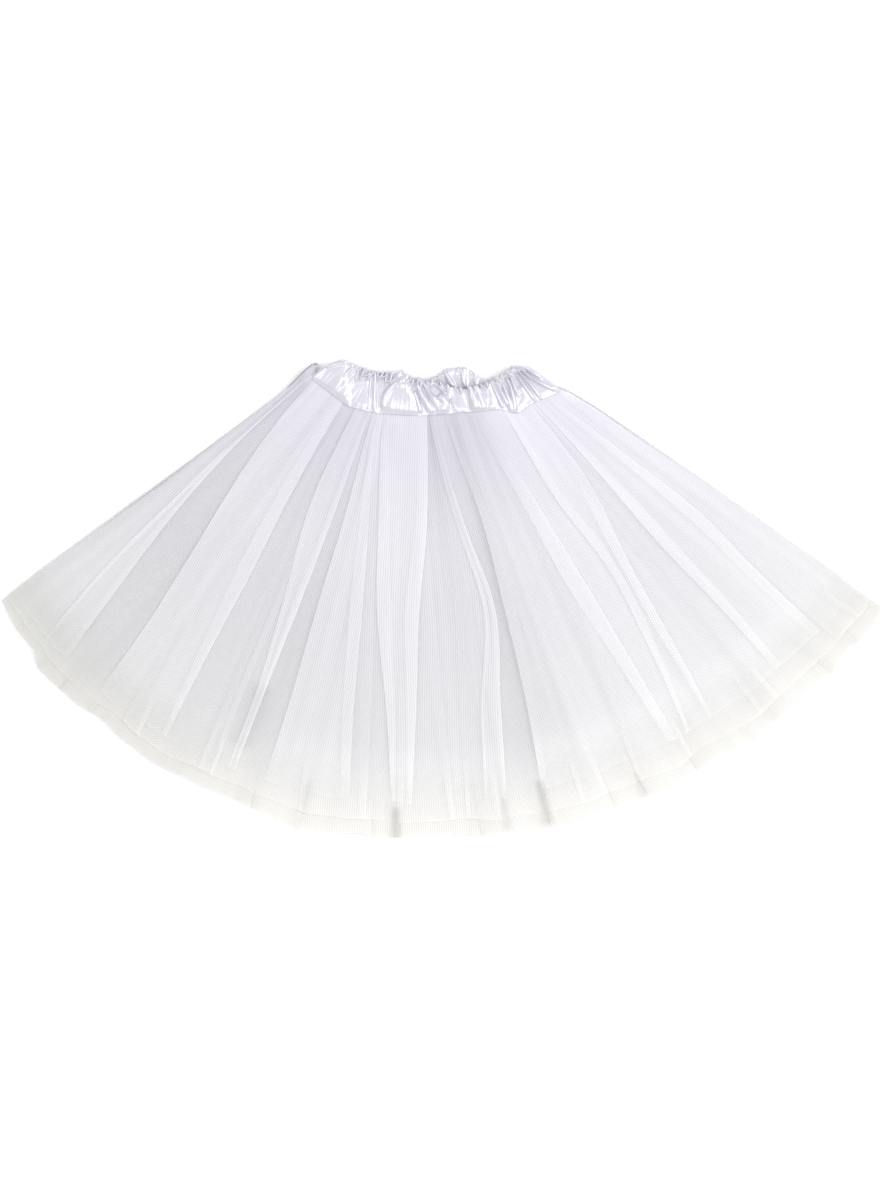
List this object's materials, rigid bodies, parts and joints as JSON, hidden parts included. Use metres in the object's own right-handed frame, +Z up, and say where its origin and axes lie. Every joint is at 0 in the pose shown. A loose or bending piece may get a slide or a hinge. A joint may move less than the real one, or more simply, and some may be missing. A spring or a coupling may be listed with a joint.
{
  "type": "ballet tutu",
  "caption": "Waist-down ballet tutu laid flat: gathered net layers fanned out below a ruched satin elastic waistband.",
  "frame": {"origin": "middle of the bounding box, on the surface the skirt lies on", "axes": "+X to the right across the fanned skirt, +Y from the hem to the waist, +Z up from the surface out of the front"},
  "size_m": [0.7672, 0.415, 0.0159],
  "materials": {
    "satin": "glossy white polyester satin, ruched on elastic",
    "tulle": "soft white nylon net, raw cut hem"
  },
  "bodies": {
    "root": {"waistband": "satin", "tulle_outer": "tulle", "tulle_middle": "tulle", "tulle_inner": "tulle"}
  },
  "joints": []
}
